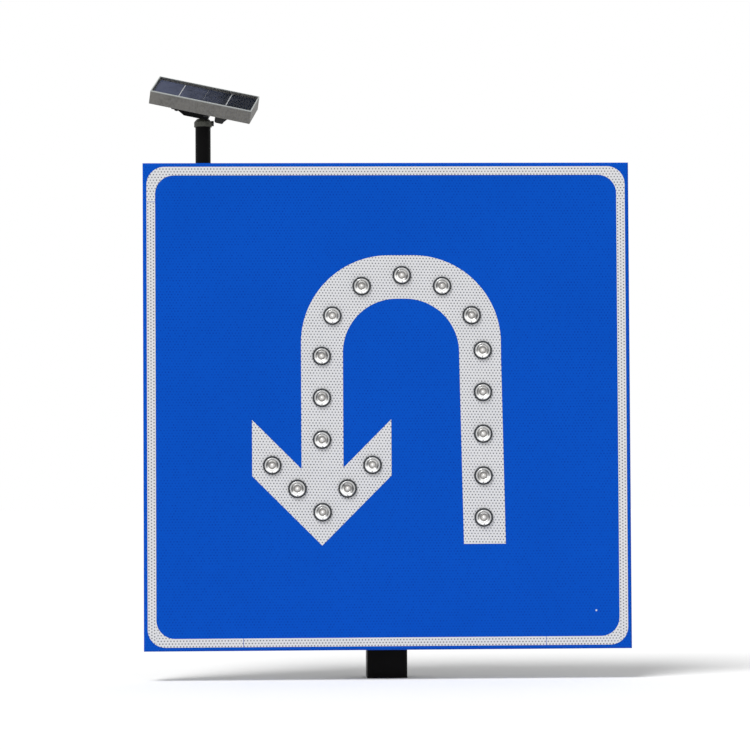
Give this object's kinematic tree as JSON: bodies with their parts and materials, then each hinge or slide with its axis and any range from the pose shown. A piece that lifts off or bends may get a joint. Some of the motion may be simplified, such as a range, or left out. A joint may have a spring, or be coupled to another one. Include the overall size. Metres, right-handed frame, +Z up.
{
  "type": "solar led u-turn sign",
  "caption": "Square blue road sign with a white U-turn arrow of inset lights, clamped to a square post, with a small tilting solar panel on a side mast.",
  "frame": {"origin": "centre of the post's lower end, on its cut face", "axes": "+Z up along the post, the sign's face looks towards -Y, +X to the right when seen from the front"},
  "size_m": [0.6, 0.1052, 0.7509],
  "materials": {
    "tray_aluminium": "satin",
    "blue_sheeting": "retroreflective film, gloss",
    "white_sheeting": "retroreflective film, gloss",
    "lens_clear": "clear polycarbonate",
    "seal_rubber": "matt",
    "emitter_resin": "clear resin on a small board",
    "black_nylon": "matt",
    "cover_aluminium": "mill",
    "stainless": "bright",
    "rail_aluminium": "extruded",
    "rivet_aluminium": "satin",
    "post_paint": "satin black powder coat on steel",
    "mast_paint": "satin black powder coat on steel",
    "galvanised": "hot-dip galvanised",
    "clip_paint": "black powder coat",
    "box_plastic": "moulded polycarbonate",
    "battery_wrap": "shrink sleeve on steel cells",
    "board_laminate": "glass-fibre laminate",
    "swivel_casting": "dull olive-grey coating on metal",
    "bracket_paint": "black powder coat",
    "black_plastic": "moulded",
    "frame_anodised": "weathered anodised",
    "panel_glass": "tempered",
    "silicon_cells": "dark silicon",
    "backsheet_film": "white film"
  },
  "bodies": {
    "sign": {"face_panel": "tray_aluminium", "blue_sheeting": "blue_sheeting", "border_sheeting": "white_sheeting", "arrow_sheeting": "white_sheeting", "led_lens_01": "lens_clear", "led_lens_02": "lens_clear", "led_lens_03": "lens_clear", "led_lens_04": "lens_clear", "led_lens_05": "lens_clear", "led_lens_06": "lens_clear", "led_lens_07": "lens_clear", "led_lens_08": "lens_clear", "led_lens_09": "lens_clear", "led_lens_10": "lens_clear", "led_lens_11": "lens_clear", "led_lens_12": "lens_clear", "led_lens_13": "lens_clear", "led_lens_14": "lens_clear", "led_lens_15": "lens_clear", "led_lens_16": "lens_clear", "led_lens_17": "lens_clear", "led_lens_18": "lens_clear", "led_seals": "seal_rubber", "led_emitters": "emitter_resin", "led_nuts": "black_nylon", "back_cover": "cover_aluminium", "cover_screws": "stainless", "rail_upper": "rail_aluminium", "rail_lower": "rail_aluminium", "rail_rivets": "rivet_aluminium", "post": "post_paint", "post_cap": "black_plastic", "clamp_upper": "galvanised", "clamp_lower": "galvanised", "clamp_bolts": "stainless", "clamp_nuts": "stainless", "control_box": "box_plastic", "box_gasket": "seal_rubber", "box_lid": "box_plastic", "lid_screws": "stainless", "fixing_screws": "stainless", "battery_cells": "battery_wrap", "controller_board": "board_laminate", "box_gland": "black_nylon", "wire_grommet": "seal_rubber", "mast": "mast_paint", "mast_clip_upper": "clip_paint", "mast_clip_lower": "clip_paint"},
    "swivel": {"swivel_socket": "swivel_casting", "clamp_screw": "black_nylon"},
    "panel": {"ball_stud": "swivel_casting", "stud_nut": "stainless", "panel_bracket": "bracket_paint", "bracket_screws": "stainless", "panel_frame": "frame_anodised", "panel_glass": "panel_glass", "solar_cells": "silicon_cells", "panel_backsheet": "backsheet_film", "junction_box": "black_plastic", "panel_gland": "black_nylon"}
  },
  "joints": [
    {"name": "socket_pan", "type": "hinge", "parent": "sign", "child": "swivel", "pos_m": [-0.226, -0.0294, 0.69], "axis": [0, 0, 1], "range_deg": [-170, 170]},
    {"name": "panel_tilt", "type": "hinge", "parent": "swivel", "child": "panel", "pos_m": [-0.226, -0.0294, 0.69], "axis": [0.9659, 0.2588, 0], "range_deg": [-63, 2]}
  ]
}
